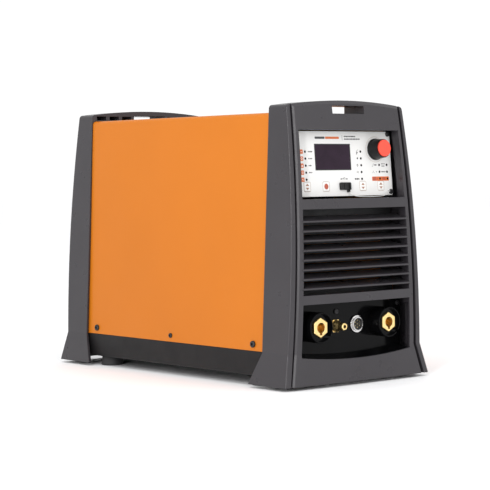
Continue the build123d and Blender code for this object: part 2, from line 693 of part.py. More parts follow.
def make_gas_outlet():
    """Brass outlet nipple with a hexagon flange and a barbed nose."""
    hexagon = RegularPolygon(8.0, 6, major_radius=False)
    flange = prism_y(Pos(GAS_X, SMALL_Z) * hexagon, PLATE_Y - 5, PLATE_Y)
    shoulder = [(0, 5), (7.8, 5), (7.4, 8), (5.0, 13.0)]
    barb = [(4.6, 15.5), (5.1, 16.2), (4.6, 20.9), (4.0, 21.5), (0, 21.5)]
    nose = revolve(Plane.XZ * make_face(Polyline(*shoulder, *barb, close=True)), Axis.Z)
    nose = Pos(GAS_X, PLATE_Y, SMALL_Z) * Rot(90, 0, 0) * nose
    body = flange + nose + rod_y(GAS_X, SMALL_Z, PLATE_Y, BULKHEAD_Y + 16, 6.9)
    return body - rod_y(GAS_X, SMALL_Z, -250, -180, 2.4)


def make_gas_nut():
    hexagon = RegularPolygon(9.5, 6, major_radius=False)
    nut = prism_y(Pos(GAS_X, SMALL_Z) * hexagon, BULKHEAD_Y + SHEET, BULKHEAD_Y + SHEET + 5)
    return nut - rod_y(GAS_X, SMALL_Z, -230, -180, 6.95)


def make_control_shell():
    """Round metal shell of the torch control connector."""
    shell = rod_y(CONTROL_X, SMALL_Z, PLATE_Y - 2.6, PLATE_Y, 11.4)
    shell = fillet(shell.edges().group_by(Axis.Y)[0], 0.7)
    shell += rod_y(CONTROL_X, SMALL_Z, PLATE_Y - 4.6, BULKHEAD_Y + 12, 9.0)
    return shell - rod_y(CONTROL_X, SMALL_Z, -240, -180, 7.8)


def make_control_insert():
    insert = rod_y(CONTROL_X, SMALL_Z, PLATE_Y - 0.6, BULKHEAD_Y + 11, 7.7)
    for x, z in control_pin_places():
        insert -= rod_y(x, z, -240, -180, 0.85)
    return insert


def make_control_pins():
    return [rod_y(x, z, PLATE_Y - 2.6, BULKHEAD_Y + 14, 0.8) for x, z in control_pin_places()]


def control_pin_places():
    ring = [math.radians(60 * k + 30) for k in range(6)]
    around = [(CONTROL_X + 4.6 * math.cos(a), SMALL_Z + 4.6 * math.sin(a)) for a in ring]
    return [(CONTROL_X, SMALL_Z), *around]


def make_control_nut():
    hexagon = RegularPolygon(12.0, 6, major_radius=False)
    nut = prism_y(Pos(CONTROL_X, SMALL_Z) * hexagon, BULKHEAD_Y + SHEET, BULKHEAD_Y + SHEET + 4)
    return nut - rod_y(CONTROL_X, SMALL_Z, -230, -180, 9.05)


# ---- rear services -----------------------------------------------------------
def rear_plate(z0, z1):
    face = window_outline((z0 + 2.0, z1 - 2.0), 2.0)
    return prism_y(face, REAR_PLATE_Y - 2, REAR_PLATE_Y)


def make_rear_switch_plate():
    plate = rear_plate(CONTROL_WINDOW_Z[0] + 0.2, CONTROL_WINDOW_Z[1] - 0.2)
    plate -= block(SWITCH_X - 11.2, SWITCH_X + 11.2, 200, 240, SWITCH_Z - 15.2, SWITCH_Z + 15.2)
    plate -= rod_y(GLAND_X, GLAND_Z, 200, 240, 10.2)
    for x, z in rear_screw_places()[:4]:
        plate -= rod_y(x, z, 200, 240, 1.7)
    return plate


def make_rear_gas_plate():
    plate = rear_plate(33.0, SOCKET_WINDOW_Z[1] + 3.0)
    plate -= rod_y(GAS_IN_X, GAS_IN_Z, 200, 240, 6.2)
    plate -= rod_y(EARTH_X, GAS_IN_Z, 200, 240, 3.1)
    for x, z in rear_screw_places()[4:]:
        plate -= rod_y(x, z, 200, 240, 1.7)
    return plate + mirror(make_ledge(), about=Plane.XZ)


def rear_screw_places():
    upper = [(x, z) for x in (-82, 82) for z in (241, 312)]
    lower = [(x, z) for x in (-84, 84) for z in (44, 95)]
    return upper + lower


def make_rear_screws():
    screw = pan_head(3.4, 2.2, 1.6, 8, socket=False)
    return [Pos(x, REAR_PLATE_Y + 0.1, z) * Rot(-90, 0, 0) * screw for x, z in rear_screw_places()]


def make_switch_housing():
    body = block(SWITCH_X - 11, SWITCH_X + 11, 190, REAR_PLATE_Y, SWITCH_Z - 15, SWITCH_Z + 15)
    sides = (SWITCH_X - 13, SWITCH_X + 13)
    bezel = block(*sides, REAR_PLATE_Y, REAR_PLATE_Y + 2, SWITCH_Z - 17.5, SWITCH_Z + 17.5)
    bezel = fillet(bezel.edges().filter_by(Axis.Y), 2.0)
    well = block(SWITCH_X - 8.5, SWITCH_X + 8.5, 205, 240, SWITCH_Z - 13, SWITCH_Z + 13)
    return body + bezel - well - rod_x(REAR_PLATE_Y - 4, SWITCH_Z, SWITCH_X - 10.5, SWITCH_X + 10.5, 1.56)


def make_rocker():
    """Rocker on its pin, tipped to its off position."""
    pivot_y = REAR_PLATE_Y - 4
    face = [(-12.2, 2.4), (0, 5.6), (12.2, 2.4), (12.2, -1.0), (4.0, -5.5), (-4.0, -5.5), (-12.2, -1.0)]
    rocker = prism_x(make_face(Polyline(*[(pivot_y + d, SWITCH_Z + h) for h, d in face], close=True)), 8.1)
    rocker = Pos(SWITCH_X, 0, 0) * rocker
    rocker = rocker.rotate(Axis((0, pivot_y, SWITCH_Z), (1, 0, 0)), -ROCKER_SWING)
    return rocker + rod_x(pivot_y, SWITCH_Z, SWITCH_X - 10.2, SWITCH_X + 10.2, 1.5)


def make_gland():
    """Cable gland body with its inner thread; no cable is fitted."""
    body = rod_y(GLAND_X, GLAND_Z, 196, REAR_PLATE_Y, 10.0)
    hexagon = RegularPolygon(13.0, 6, major_radius=False)
    body += prism_y(Pos(GLAND_X, GLAND_Z) * hexagon, REAR_PLATE_Y, REAR_PLATE_Y + 6)
    return body - rod_y(GLAND_X, GLAND_Z, 190, 240, 6.5)


def make_gland_cap():
    cap = rod_y(GLAND_X, GLAND_Z, REAR_PLATE_Y + 6, REAR_PLATE_Y + 19, 12.5)
    cap = fillet(cap.edges().group_by(Axis.Y)[-1], 2.5)
    for k in range(12):
        angle = math.radians(30 * k)
        x, z = GLAND_X + 13.0 * math.cos(angle), GLAND_Z + 13.0 * math.sin(angle)
        cap -= rod_y(x, z, REAR_PLATE_Y + 5, REAR_PLATE_Y + 15, 1.3)
    return cap - rod_y(GLAND_X, GLAND_Z, 200, 250, 6.0)


def make_gland_nut():
    hexagon = RegularPolygon(13.0, 6, major_radius=False)
    nut = prism_y(Pos(GLAND_X, GLAND_Z) * hexagon, 211, REAR_PLATE_Y - 2)
    return nut - rod_y(GLAND_X, GLAND_Z, 190, 240, 10.05)


def make_gas_inlet():
    """Brass hose barb for the shielding gas supply."""
    hexagon = RegularPolygon(7.5, 6, major_radius=False)
    body = prism_y(Pos(GAS_IN_X, GAS_IN_Z) * hexagon, REAR_PLATE_Y, REAR_PLATE_Y + 5)
    profile = [(0, 5), (3.4, 5), (3.4, 9)]
    for k in range(3):
        start = 9 + 4.0 * k
        profile += [(4.4, start), (3.5, start + 3.6)]
    profile += [(3.4, 23.5), (0, 23.5)]
    barb = revolve(Plane.XZ * make_face(Polyline(*profile, close=True)), Axis.Z)
    body += Pos(GAS_IN_X, REAR_PLATE_Y, GAS_IN_Z) * Rot(-90, 0, 0) * barb
    body += rod_y(GAS_IN_X, GAS_IN_Z, 192, REAR_PLATE_Y, 6.0)
    return body - rod_y(GAS_IN_X, GAS_IN_Z, 180, 250, 2.2)


def make_earth_stud():
    stud = rod_y(EARTH_X, GAS_IN_Z, REAR_PLATE_Y - 12, REAR_PLATE_Y + 16, 3.0)
    return stud + rod_y(EARTH_X, GAS_IN_Z, REAR_PLATE_Y - 12, REAR_PLATE_Y - 8, 7)


def make_earth_nut():
    hexagon = RegularPolygon(5.0, 6, major_radius=False)
    nut = prism_y(Pos(EARTH_X, GAS_IN_Z) * hexagon, REAR_PLATE_Y + 1.6, REAR_PLATE_Y + 6.6)
    washer = rod_y(EARTH_X, GAS_IN_Z, REAR_PLATE_Y, REAR_PLATE_Y + 1.6, 7)
    return nut + washer - rod_y(EARTH_X, GAS_IN_Z, 200, 250, 3.05)


# ---- fan ---------------------------------------------------------------------
def make_fan_frame():
    front = FAN_BACK_Y - FAN_DEPTH
    half = FAN_SIZE / 2
    frame = block(-half, half, front, FAN_BACK_Y, FAN_Z - half, FAN_Z + half)
    frame = fillet(frame.edges().filter_by(Axis.Y), 5)
    frame -= rod_y(0, FAN_Z, front - 1, FAN_BACK_Y + 1, 57)
    for x, z in fan_holes():
        frame -= rod_y(x, z, front - 1, FAN_BACK_Y + 1, 2.2)
    frame += rod_y(0, FAN_Z, front, front + 4, 21)
    for angle in (45, 135, 225, 315):
        arm = Pos(0, front + 2, FAN_Z) * Rot(0, angle, 0) * Pos(39, 0, 0) * Box(38, 4, 6)
        frame += arm
    return frame - rod_y(0, FAN_Z, front - 1, front + 12, 3.04)


def make_fan_rotor():
    front = FAN_BACK_Y - FAN_DEPTH
    hub = rod_y(0, FAN_Z, front + 5.5, FAN_BACK_Y - 3, 20)
    hub = fillet(hub.edges().group_by(Axis.Y)[-1], 2)
    rotor = hub + rod_y(0, FAN_Z, front - 0.5, front + 6, 3.0)
    for k in range(7):
        blade = Pos(36.5, 0, 0) * Rot(38, 0, 0) * Box(35, 32, 2.2)
        blade = blade & Pos(0, 0, 0) * Rot(90, 0, 0) * Cylinder(54.5, 60)
        rotor += Pos(0, FAN_BACK_Y - 18, FAN_Z) * Rot(0, 360 / 7 * k, 0) * blade
    return rotor & block(-60, 60, front - 1, FAN_BACK_Y - 2.5, FAN_Z - 60, FAN_Z + 60)


def make_fan_guard():
    """Finger guard of concentric wires on two spokes."""
    y0 = FAN_BACK_Y + SHEET + 0.8
    guard = tube_y(0, FAN_Z, y0, y0 + 2, 57, 55)
    for radius in (12, 23, 34, 45):
        guard += tube_y(0, FAN_Z, y0, y0 + 2, radius + 1, radius - 1)
    for angle in (45, 135):
        spoke = Pos(0, y0 + 1, FAN_Z) * Rot(0, angle, 0) * Box(146, 2, 2.4)
        guard += spoke
    for x, z in fan_holes():
        guard += rod_y(x, z, y0, y0 + 2, 4.5)
    for x, z in fan_holes():
        guard -= rod_y(x, z, y0 - 1, y0 + 3, 2.2)
    return guard


def make_fan_screws():
    screw = pan_head(4.0, 2.4, 2.0, 44, socket=False)
    return [Pos(x, FAN_BACK_Y + SHEET + 2.9, z) * Rot(-90, 0, 0) * screw for x, z in fan_holes()]


# ---- inverter ----------------------------------------------------------------
INVERTER_Y = (-160.0, 140.0)
FLOOR_Z = PAN_Z + PAN_SHEET + 0.1
SINK_Y = (-100.0, 20.0)
SINK_LENGTH = 114.0
SHELF_Z = 219.0


def make_power_board():
    """Upright main board on the left of the air tunnel."""
    return block(-92, -90.4, *INVERTER_Y, FLOOR_Z + 4, 214)


def make_heat_sinks(z0, z1):
    """Two finned extrusions with their fins in the air stream."""
    sinks = []
    for y0 in SINK_Y:
        sink = block(-62, -56, y0, y0 + SINK_LENGTH, FLOOR_Z, z1)
        for k in range(8):
            z = z0 + 3 + (z1 - z0 - 6) * k / 7
            sink += block(-57, -22, y0, y0 + SINK_LENGTH, z - 0.9, z + 0.9)
        sinks.append(sink)
    return sinks


def make_transistors():
    rows = []
    for y0 in SINK_Y:
        for k in range(4):
            y = y0 + 5 + 28 * k
            rows.append(block(-67.2, -62.2, y, y + 16, 60, 81) + block(-67.2, -66.4, y + 3, y + 13, 42, 60))
    return rows


def make_capacitors():
    cans = []
    for k in range(4):
        can = rod_x(-120 + 46 * k, 178, -90.2, -50, 17)
        cans.append(fillet(can.edges().group_by(Axis.X)[-1], 2))
    return cans


def make_transformer_core():
    """Two ferrite E halves closed as one block with two windows."""
    core = block(10, 74, -60, 30, FLOOR_Z, FLOOR_Z + 80)
    for y0 in (-44, 2):
        core -= block(0, 90, y0, y0 + 12, FLOOR_Z + 14, FLOOR_Z + 66)
    return core


def make_transformer_winding():
    winding = block(1, 83, -43.5, 13.5, FLOOR_Z + 15, FLOOR_Z + 65)
    winding = fillet(winding.edges().filter_by(Axis.Z), 8)
    leg = block(9.8, 74.2, -32.2, 2.2, 0, 120)
    return winding - leg


def make_output_choke():
    return tube_y(42, FLOOR_Z + 34.6, 72, 96, 34.5, 17.5)


def make_hf_coil():
    centre_z = SHELF_Z + SHEET + 20.1
    coil = rod_y(30, centre_z, -150, -90, 20)
    return coil - rod_y(30, centre_z, -160, -80, 11)


def make_shelf():
    """Steel shelf that splits the air tunnel from the control space."""
    front = BULKHEAD_Y + SHEET + 0.1
    back = 150.0
    shelf = block(-88, 88, front, back, SHELF_Z, SHELF_Z + SHEET)
    for y in (front, back - SHEET):
        shelf += block(-88, 88, y, y + SHEET, SHELF_Z, SHELF_Z + 10)
    return shelf


def make_gas_valve():
    body = block(GAS_X - 14, GAS_X + 14, -170, -130, FLOOR_Z, 34)
    coil = rod_z(GAS_X, -150, 34, 66, 13)
    return body + coil


def hose(points, radius):
    path = FilletPolyline(*points, radius=route_radii(points))
    section = Plane(origin=path @ 0, z_dir=path % 0) * Circle(radius)
    return sweep(section, path=path)


def make_gas_hose():
    """Hose from the rear barb, under the heat sinks, to the valve."""
    points = [
        (GAS_IN_X, 191.2, GAS_IN_Z),
        (GAS_IN_X, 172, GAS_IN_Z - 3),
        (GAS_IN_X, 146, 28),
        (GAS_IN_X + 4, 100, 22),
        (-26, -70, 22.5),
        (GAS_X, -128.9, 22),
    ]
    return hose(points, 4.0)


def make_gas_lead():
    """Short hose from the valve up to the outlet nipple."""
    points = [
        (GAS_X, -171.6, 22),
        (GAS_X, -177, 25),
        (GAS_X, -181, 46),
        (GAS_X, -183, 66),
        (GAS_X, BULKHEAD_Y + 17.8, SMALL_Z),
    ]
    return hose(points, 3.0)


# ---- assembly ----------------------------------------------------------------
front_hoop = make_hoop()
front_fascia = make_fascia()
parts["front_hoop"] = front_hoop
parts["rear_hoop"] = mirror(front_hoop, about=Plane.XZ)
parts["front_fascia"] = front_fascia
parts["rear_fascia"] = mirror(front_fascia, about=Plane.XZ)
parts["cover"] = make_cover()
parts["base_pan"] = make_base_pan()
parts["rubber_feet"] = make_feet()
parts["foot_screws"] = make_foot_screws()
parts["cover_screws"] = make_cover_screws()
parts["front_bulkhead"] = make_front_bulkhead()
parts["rear_bulkhead"] = make_rear_bulkhead()
parts["control_overlay"] = panel_plate(-OVERLAY, 0, 0.3, 1.75)
parts["control_backplate"] = make_backplate()
parts["screen_window"] = panel_box(*SCREEN_CENTRE, -1.8, -0.1, SCREEN_W, SCREEN_H)
parts["control_board"] = [
    make_control_board(),
    panel_box(*SCREEN_CENTRE, -8.0, -2.6, SCREEN_W + 6, SCREEN_H + 6),
    *[panel_box(u, v, PCB_W + PCB, -9.4, 6, 6) for u, v in key_places()],
]
parts["indicator_leds"] = [panel_rod(u, v, PCB_W + PCB, 0.15, LED_R) for u, v in led_places()]
parts["encoder_body"] = panel_box(KNOB_U, KNOB_V, PCB_W + PCB, -5.6, 12.4, 13.2) - panel_rod(
    KNOB_U, KNOB_V, PCB_W + PCB - 1, 0, 3.08
) + panel_rod(KNOB_U, KNOB_V, -5.6, 1.4, 4.5) - panel_rod(KNOB_U, KNOB_V, -13, 3, 3.06)
parts["encoder_plunger"] = panel_rod(KNOB_U, KNOB_V, -11.5, -10.2, 2.9)
parts["encoder_shaft"] = panel_rod(KNOB_U, KNOB_V, -10.0, 13.9, 2.98)
parts["knob_body"] = make_knob()
parts["knob_cap"] = make_knob_cap()
KEY_NAMES = ("key_left_arrows", "key_round", "key_right_arrows_a", "key_right_arrows_b")
for key_name, (u, v) in zip(KEY_NAMES, key_places()):
    parts[key_name] = make_key(u, v)
parts["usb_port"] = panel_box(0, KEY_V, -12.3, -0.2, 13.8, 6.8) - panel_box(0, KEY_V, -11.0, 1, 12.0, 4.6)
parts["usb_cap"] = make_usb_cap()
parts["usb_tether"] = make_tether()
parts["tether_eyelet"] = make_tether_eyelet()
parts["panel_screws"] = [
    on_panel(u, v, 0.6 if (u > 0 and v < 0) else 0.1, pan_head(3.3, 2.0, 1.6, 6, socket=False))
    for u, v in panel_screw_places()
]
parts["socket_plate"] = make_socket_plate()
parts["socket_screws"] = make_socket_screws()
parts["weld_socket_bodies"] = [make_socket_body(x) for x in (-SOCKET_X, SOCKET_X)]
parts["weld_socket_contacts"] = [make_socket_contact(x) for x in (-SOCKET_X, SOCKET_X)]
parts["bulkhead_nuts"] = [*make_socket_nuts(), make_gas_nut(), make_control_nut()]
parts["socket_lugs"] = make_socket_lugs()
parts["gas_outlet"] = make_gas_outlet()
parts["control_connector_shell"] = make_control_shell()
parts["control_connector_insert"] = make_control_insert()
parts["control_connector_pins"] = make_control_pins()
parts["rear_plates"] = [make_rear_switch_plate(), make_rear_gas_plate()]
parts["rear_screws"] = [*make_rear_screws(), *make_fan_screws()]
parts["switch_housing"] = make_switch_housing()
parts["switch_rocker"] = make_rocker()
parts["cable_gland"] = [make_gland(), make_gland_cap(), make_gland_nut()]
parts["gas_inlet"] = make_gas_inlet()
parts["earth_stud"] = [make_earth_stud(), make_earth_nut()]
parts["fan_frame"] = make_fan_frame()
parts["fan_rotor"] = make_fan_rotor()
parts["fan_guard"] = make_fan_guard()
parts["shelf"] = make_shelf()
parts["power_board"] = make_power_board()
parts["heat_sinks"] = make_heat_sinks(34, 120)
parts["power_transistors"] = make_transistors()
parts["bulk_capacitors"] = make_capacitors()
parts["transformer"] = [make_transformer_core(), make_transformer_winding()]
parts["output_choke"] = make_output_choke()
parts["hf_coil"] = make_hf_coil()
parts["gas_valve"] = make_gas_valve()
parts["gas_hoses"] = [make_gas_hose(), make_gas_lead()]

os.makedirs("parts", exist_ok=True)
lift = Location((0, 0, FOOT_DROP))
for name, shape in parts.items():
    pieces = shape if isinstance(shape, list) else [shape]
    solids = [solid.moved(lift) for piece in pieces for solid in piece.solids()]
    export_step(solids[0] if len(solids) == 1 else Compound(children=solids), f"parts/{name}.step")
print(len(parts), "parts")
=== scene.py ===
import json
import math

import bmesh
import bpy
from mathutils import Matrix, Vector


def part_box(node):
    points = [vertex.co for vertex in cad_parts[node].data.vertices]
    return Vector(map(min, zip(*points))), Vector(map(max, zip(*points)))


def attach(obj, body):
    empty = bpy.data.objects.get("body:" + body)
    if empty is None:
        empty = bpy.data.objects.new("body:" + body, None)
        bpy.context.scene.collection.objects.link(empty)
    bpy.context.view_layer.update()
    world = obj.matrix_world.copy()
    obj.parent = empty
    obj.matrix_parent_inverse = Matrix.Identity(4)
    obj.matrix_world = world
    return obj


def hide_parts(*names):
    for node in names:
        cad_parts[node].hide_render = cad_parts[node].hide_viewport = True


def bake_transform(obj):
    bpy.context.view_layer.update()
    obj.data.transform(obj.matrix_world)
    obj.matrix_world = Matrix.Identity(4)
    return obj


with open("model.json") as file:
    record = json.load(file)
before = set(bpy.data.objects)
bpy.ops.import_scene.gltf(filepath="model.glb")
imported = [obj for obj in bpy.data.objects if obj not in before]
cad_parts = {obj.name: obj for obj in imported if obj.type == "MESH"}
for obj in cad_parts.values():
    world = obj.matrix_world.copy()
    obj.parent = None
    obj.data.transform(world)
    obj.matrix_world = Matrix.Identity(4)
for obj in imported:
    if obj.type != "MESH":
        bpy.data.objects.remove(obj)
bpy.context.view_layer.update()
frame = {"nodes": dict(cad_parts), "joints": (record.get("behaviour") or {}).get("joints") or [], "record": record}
MM = 0.001

# Heights are from the case datum, which the hoops' feet just clear.
HOOP_CLEARANCE = 0.5 * MM
DATUM_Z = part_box("front_hoop")[0].z - HOOP_CLEARANCE
CORD_D = 1.0 * MM
CORD_ROUTE = (                      # usb cap's tether, mm above the case datum
    (5.5, -223.2, 239.5),
    (7.6, -225.2, 237.4),
    (14.0, -228.4, 235.1),
    (26.0, -230.2, 234.3),
    (41.0, -230.8, 234.2),
    (56.0, -229.0, 234.4),
    (67.0, -226.4, 235.4),
    (74.0, -224.6, 238.0),
    (78.6, -223.5, 241.2),
)

# Camera, in degrees, millimetres and millimetres of focal length.
CAMERA_AT = Vector((-1515.9, -1819.7, 266.7)) * MM
CAMERA_AZIMUTH = -40.07
CAMERA_ELEVATION = 2.41
CAMERA_ROLL = -0.64
CAMERA_LENS = 125.98
CAMERA_SHIFT = 0.004

# Printed panel, mm on the overlay: u right, v up, w outwards from its face.
OVERLAY = 0.5
LED_PITCH = 8.83
LED_TOP_V = 15.5
LEFT_ICON_U = -71.2
LEFT_LABEL_U = -60.0
MID_ICON_U = 25.0
KEY_U = (-64.8, -32.4, 32.4, 64.8)
KEY_V = -29.0
KNOB_U = 57.8
KNOB_V = 18.3
STRIP_U = 65.2
STRIP_V = -19.9
RIGHT_ROWS = (-2.0, -10.9)
DATA_SYMBOL_V = -19.6
BAR_V = 33.2
BAR_TALL = 2.9
BAR_CORNER = 0.7
PRINT_LOW = 0.02                    # underside, face, and face of a second layer
PRINT_HIGH = 0.07
PRINT_TOP = 0.10
RING_R = (16.2, 16.6)               # thin line round the knob
SCREEN_MARGIN = 0.1
SCREEN_BORDER_U = 1.3
SCREEN_BORDER_V = 1.2
FLOOR_HALF = 14.0                   # metres


# ---- camera -----------------------------------------------------------------
def make_camera():
    camera = bpy.data.objects.new("camera", bpy.data.cameras.new("camera"))
    bpy.context.scene.collection.objects.link(camera)
    a = math.radians(CAMERA_AZIMUTH)
    e = math.radians(CAMERA_ELEVATION)
    r = math.radians(CAMERA_ROLL)
    back = Vector((math.sin(a) * math.cos(e), -math.cos(a) * math.cos(e), math.sin(e)))
    level = (-back).cross(Vector((0, 0, 1))).normalized()
    rise = level.cross(-back)
    right = math.cos(r) * level + math.sin(r) * rise
    up = math.cos(r) * rise - math.sin(r) * level
    turn = Matrix((right, up, back)).transposed().to_4x4()
    camera.matrix_world = Matrix.Translation(CAMERA_AT + Vector((0, 0, DATUM_Z))) @ turn
    camera.data.lens = CAMERA_LENS
    camera.data.sensor_width = 36.0
    camera.data.shift_x = CAMERA_SHIFT
    camera.data.clip_start = 0.05
    camera.data.clip_end = 60.0
    bpy.context.scene.camera = camera


# ---- materials --------------------------------------------------------------
def noise(tree, where, size, detail=3.0):
    """Noise whose features are about size metres across."""
    node = tree.nodes.new("ShaderNodeTexNoise")
    node.inputs["Scale"].default_value = 1 / size
    node.inputs["Detail"].default_value = detail
    tree.links.new(where, node.inputs["Vector"])
    return node.outputs["Fac"]


def spread(tree, value, low, high):
    """Noise, which stays near its middle, spread over a range."""
    node = tree.nodes.new("ShaderNodeMapRange")
    node.inputs["From Min"].default_value = 0.3
    node.inputs["From Max"].default_value = 0.7
    node.inputs["To Min"].default_value = low
    node.inputs["To Max"].default_value = high
    tree.links.new(value, node.inputs["Value"])
    return node.outputs["Result"]


def surface(
    name, color, rough, metal=0.0, drift=0.06, drift_size=0.05, grain=0.0006, relief=0.3,
    uneven=0.06, edge=0.0, coat=0.0, specular=0.5, stretch=(1, 1, 1),
):
    """Colour drift, uneven gloss and a fine grain, in object space, with eased edges."""
    mat = bpy.data.materials.new(name)
    mat.use_nodes = True
    tree = mat.node_tree
    shader = tree.nodes["Principled BSDF"]
    shader.inputs["Metallic"].default_value = metal
    shader.inputs["Coat Weight"].default_value = coat
    shader.inputs["Coat Roughness"].default_value = 0.06
    shader.inputs["Specular IOR Level"].default_value = specular
    where = tree.nodes.new("ShaderNodeTexCoord").outputs["Object"]
    if stretch != (1, 1, 1):
        mapping = tree.nodes.new("ShaderNodeMapping")
        mapping.inputs["Scale"].default_value = stretch
        tree.links.new(where, mapping.inputs["Vector"])
        where = mapping.outputs["Vector"]
    tint = tree.nodes.new("ShaderNodeMix")
    tint.data_type = "RGBA"
    tint.inputs[6].default_value = (*[c * (1 - drift) for c in color], 1)
    tint.inputs[7].default_value = (*[min(1, c * (1 + drift)) for c in color], 1)
    cloud = spread(tree, noise(tree, where, drift_size), 0, 1)
    tree.links.new(cloud, tint.inputs[0])
    tree.links.new(tint.outputs[2], shader.inputs["Base Color"])
    gloss = spread(tree, noise(tree, where, drift_size * 0.4, 4), rough - uneven, rough + uneven)
    tree.links.new(gloss, shader.inputs["Roughness"])
    bump = tree.nodes.new("ShaderNodeBump")
    bump.inputs["Strength"].default_value = relief
    bump.inputs["Distance"].default_value = grain * 0.12
    tree.links.new(noise(tree, where, grain, 2), bump.inputs["Height"])
    if edge:
        ease = tree.nodes.new("ShaderNodeBevel")
        ease.samples = 4
        ease.inputs["Radius"].default_value = edge
        tree.links.new(ease.outputs["Normal"], bump.inputs["Normal"])
    tree.links.new(bump.outputs["Normal"], shader.inputs["Normal"])
    return mat


CASE_GREY = (0.030, 0.027, 0.031)
FINISHES = {
    "hoop": dict(color=CASE_GREY, rough=0.32, drift=0.05, grain=0.0007, relief=0.5, edge=0.0012,
                 specular=0.4),
    "fascia": dict(color=CASE_GREY, rough=0.32, drift=0.05, grain=0.0007, relief=0.5, edge=0.0012,
                   specular=0.4),
    "cover": dict(color=(0.52, 0.150, 0.008), rough=0.38, drift=0.025, drift_size=0.15, grain=0.0016,
                  relief=0.35, edge=0.0006, specular=0.2),
    "pan": dict(color=(0.010, 0.009, 0.0095), rough=0.5, grain=0.001, relief=0.35, edge=0.0008,
                specular=0.2),
    "foot_rubber": dict(color=(0.018, 0.018, 0.019), rough=0.72, grain=0.001, relief=0.5),
    "zinc": dict(color=(0.60, 0.60, 0.61), rough=0.3, metal=1.0, drift=0.1, drift_size=0.01),
    "black_screw": dict(color=(0.035, 0.034, 0.036), rough=0.34, metal=0.6, drift=0.15, drift_size=0.004),
    "bulkhead": dict(color=(0.010, 0.010, 0.011), rough=0.6, relief=0.3),
    "overlay": dict(color=(0.72, 0.715, 0.70), rough=0.36, drift=0.015, grain=0.0004, relief=0.18),
    "black_plastic": dict(color=(0.014, 0.014, 0.015), rough=0.45, relief=0.35, edge=0.0003),
    "screen": dict(color=(0.021, 0.011, 0.021), rough=0.2, drift=0.16, drift_size=0.02, relief=0.02,
                   uneven=0.03, specular=0.15),
    "board": dict(color=(0.02, 0.11, 0.045), rough=0.4, drift=0.2, drift_size=0.008),
    "led": dict(color=(0.005, 0.004, 0.005), rough=0.25, drift=0.2, drift_size=0.002, uneven=0.04,
                specular=0.2),
    "knob": dict(color=(0.006, 0.006, 0.0065), rough=0.36, drift=0.15, drift_size=0.01, relief=0.3,
                 edge=0.0003, specular=0.2),
    "knob_cap": dict(color=(0.80, 0.060, 0.030), rough=0.38, drift=0.05, drift_size=0.01, relief=0.12,
                     edge=0.0006),
    "key": dict(color=(0.80, 0.79, 0.77), rough=0.34, drift=0.015, grain=0.0004, relief=0.12, edge=0.0004),
    "chrome": dict(color=(0.60, 0.59, 0.585), rough=0.12, metal=1.0, drift=0.06, drift_size=0.004,
                   uneven=0.05, edge=0.0003),
    "soft_cap": dict(color=(0.005, 0.005, 0.0055), rough=0.4, relief=0.3, edge=0.0003, specular=0.3),
    "tether": dict(color=(0.66, 0.66, 0.64), rough=0.2, drift=0.08, drift_size=0.004, coat=0.5),
    "gloss_black": dict(color=(0.0025, 0.0025, 0.0028), rough=0.14, drift=0.2, drift_size=0.03, grain=0.002,
                        relief=0.05, uneven=0.04, edge=0.0005, specular=0.09),
    "brass": dict(color=(0.94, 0.69, 0.30), rough=0.3, metal=1.0, drift=0.07, drift_size=0.004,
                  grain=0.0004, relief=0.12, edge=0.0005),
    "copper": dict(color=(0.75, 0.38, 0.22), rough=0.3, metal=1.0, drift=0.12, drift_size=0.006),
    "pin_metal": dict(color=(0.40, 0.32, 0.18), rough=0.25, metal=1.0, drift=0.1, drift_size=0.003),
    "rocker": dict(color=(0.50, 0.018, 0.014), rough=0.25, drift=0.06, relief=0.1, edge=0.0005),
    "fan_plastic": dict(color=(0.016, 0.016, 0.017), rough=0.4, relief=0.3, edge=0.0003),
    "aluminium": dict(color=(0.66, 0.67, 0.68), rough=0.36, metal=1.0, drift=0.06, drift_size=0.02,
                      relief=0.3, stretch=(1, 0.06, 1)),
    "component": dict(color=(0.025, 0.025, 0.03), rough=0.35, drift=0.2, drift_size=0.02),
    "ferrite": dict(color=(0.10, 0.045, 0.025), rough=0.42, drift=0.3, drift_size=0.004, relief=0.5),
    "hose": dict(color=(0.022, 0.022, 0.024), rough=0.55, relief=0.4),
    "ink_orange": dict(color=(0.58, 0.125, 0.025), rough=0.4, drift=0.05, drift_size=0.01, relief=0.1),
    "ink_red": dict(color=(0.38, 0.075, 0.04), rough=0.4, drift=0.05, drift_size=0.01, relief=0.1),
    "ink_brown": dict(color=(0.33, 0.17, 0.11), rough=0.4, drift=0.05, drift_size=0.01, relief=0.1),
    "ink_grey": dict(color=(0.045, 0.045, 0.048), rough=0.4, drift=0.08, drift_size=0.01, relief=0.1),
    # Grey-brown of the thin ring round the knob and of the rings just outside the keys.
    "pale_ring_brown": dict(color=(0.45, 0.36, 0.30), rough=0.4, drift=0.05, drift_size=0.01, relief=0.1),
    "ink_black": dict(color=(0.012, 0.012, 0.013), rough=0.35, drift=0.1, drift_size=0.01, relief=0.1),
    "ink_white": dict(color=(0.85, 0.85, 0.84), rough=0.4, drift=0.02, drift_size=0.01, relief=0.1),
}
made_materials = {}


def finish(name):
    if name not in made_materials:
        made_materials[name] = surface(name, **FINISHES[name])
    return made_materials[name]


def dress_cad_nodes():
    """Every CAD node takes the finish of its slot in the record."""
    for part in frame["record"]["subparts"]:
        node = frame["nodes"][part["node"]]
        for slot in node.material_slots:
            slot.material = finish(part["material_slot"])


# ---- mesh helpers -------------------------------------------------------------
def piece(name, bm, body, finish_name, smooth=False):
    """Object from a bmesh, in the row frame, riding on a body."""
    bmesh.ops.recalc_face_normals(bm, faces=bm.faces)
    mesh = bpy.data.meshes.new(name)
    bm.to_mesh(mesh)
    bm.free()
    if smooth:
        mesh.polygons.foreach_set("use_smooth", [True] * len(mesh.polygons))
    mesh.materials.append(finish(finish_name))
    obj = bpy.data.objects.new(name, mesh)
    bpy.context.scene.collection.objects.link(obj)
    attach(obj, body)
    return obj


